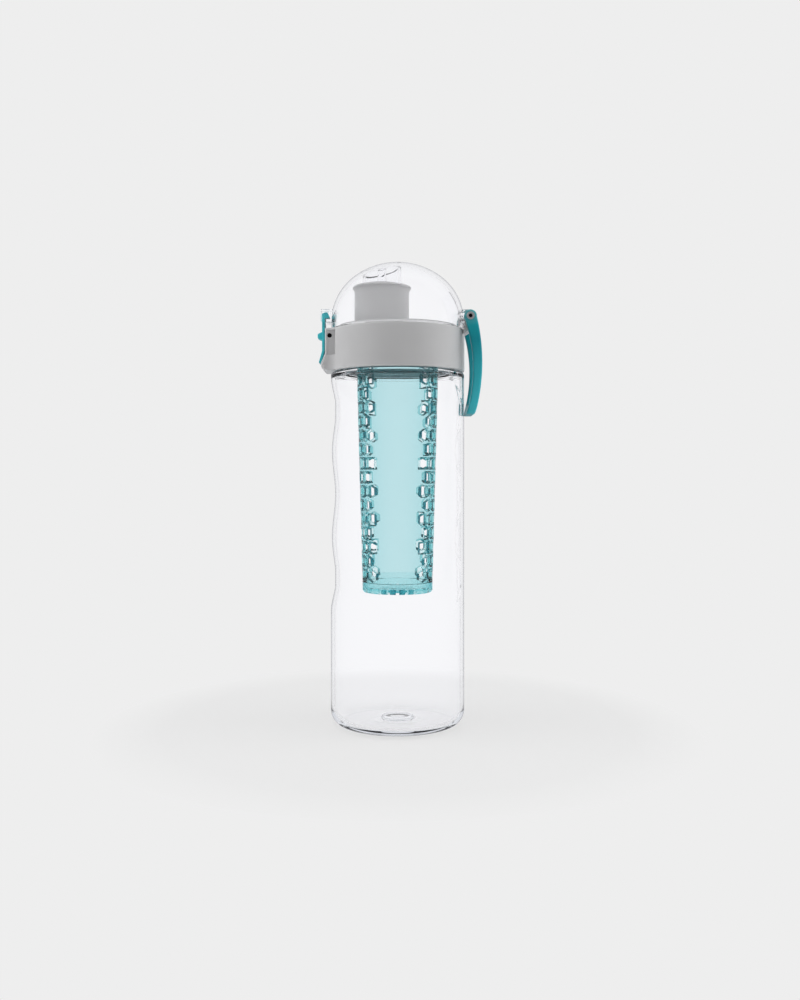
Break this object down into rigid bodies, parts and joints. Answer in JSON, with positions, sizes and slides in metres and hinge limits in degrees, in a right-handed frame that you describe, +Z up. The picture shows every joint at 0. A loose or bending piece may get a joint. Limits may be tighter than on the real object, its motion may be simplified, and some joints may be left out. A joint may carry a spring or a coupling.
{
  "type": "infuser water bottle",
  "caption": "Clear drinking bottle with grooved grip, screw lid, spout under a latched clear dome, carry loop and a teal fruit infuser hanging inside.",
  "frame": {"origin": "on the bottle's axis, at the plane that it stands on", "axes": "+Z up along the bottle's axis, +X towards the hinge and the carry loop, -X towards the latch"},
  "size_m": [0.0885, 0.073, 0.2512],
  "materials": {
    "clear_wall": "clear polished plastic",
    "pale_lid": "pale grey-white satin plastic",
    "teal_clear": "see-through teal plastic",
    "teal_solid": "glossy teal plastic",
    "silicone": "milky silicone",
    "steel": "plain steel",
    "dark_steel": "blackened steel"
  },
  "bodies": {
    "bottle": {"bottle_body": "clear_wall"},
    "lid_lift": {"mouth_gasket": "silicone"},
    "lid": {"lid_collar": "pale_lid", "spout_deck": "pale_lid", "deck_seal": "silicone", "vent_valve": "silicone", "infuser_basket": "teal_clear", "infuser_base": "teal_clear", "infuser_seal": "silicone", "hinge_pin": "steel", "latch_pin": "dark_steel", "latch_spring": "steel"},
    "dome": {"dome_lid": "clear_wall", "spout_seal": "silicone"},
    "loop": {"carry_loop": "teal_solid"},
    "latch": {"latch_lever": "teal_solid"}
  },
  "joints": [
    {"name": "lid_raise", "type": "slide", "parent": "bottle", "child": "lid_lift", "axis": [0, 0, 1], "range_m": [0, 0.0057]},
    {"name": "lid_turn", "type": "hinge", "parent": "lid_lift", "child": "lid", "pos_m": [0, 0, 0.2], "axis": [0, 0, 1], "range_deg": [0, 450]},
    {"name": "dome_hinge", "type": "hinge", "parent": "lid", "child": "dome", "pos_m": [0.0388, 0, 0.2202], "axis": [0, 1, 0], "range_deg": [0, 105]},
    {"name": "loop_swing", "type": "hinge", "parent": "lid", "child": "loop", "pos_m": [0.0388, 0, 0.2202], "axis": [0, -1, 0], "range_deg": [0, 45]},
    {"name": "latch_press", "type": "hinge", "parent": "lid", "child": "latch", "pos_m": [-0.0364, 0, 0.2103], "axis": [0, -1, 0], "range_deg": [0, 12], "stiffness_Nm_per_rad": 0.02, "springref_deg": -5.73, "deforming": ["latch_spring"]}
  ],
  "couplings": [
    {"joint": "lid_raise", "follows": "lid_turn", "m_per_rad": 0.0007162}
  ]
}
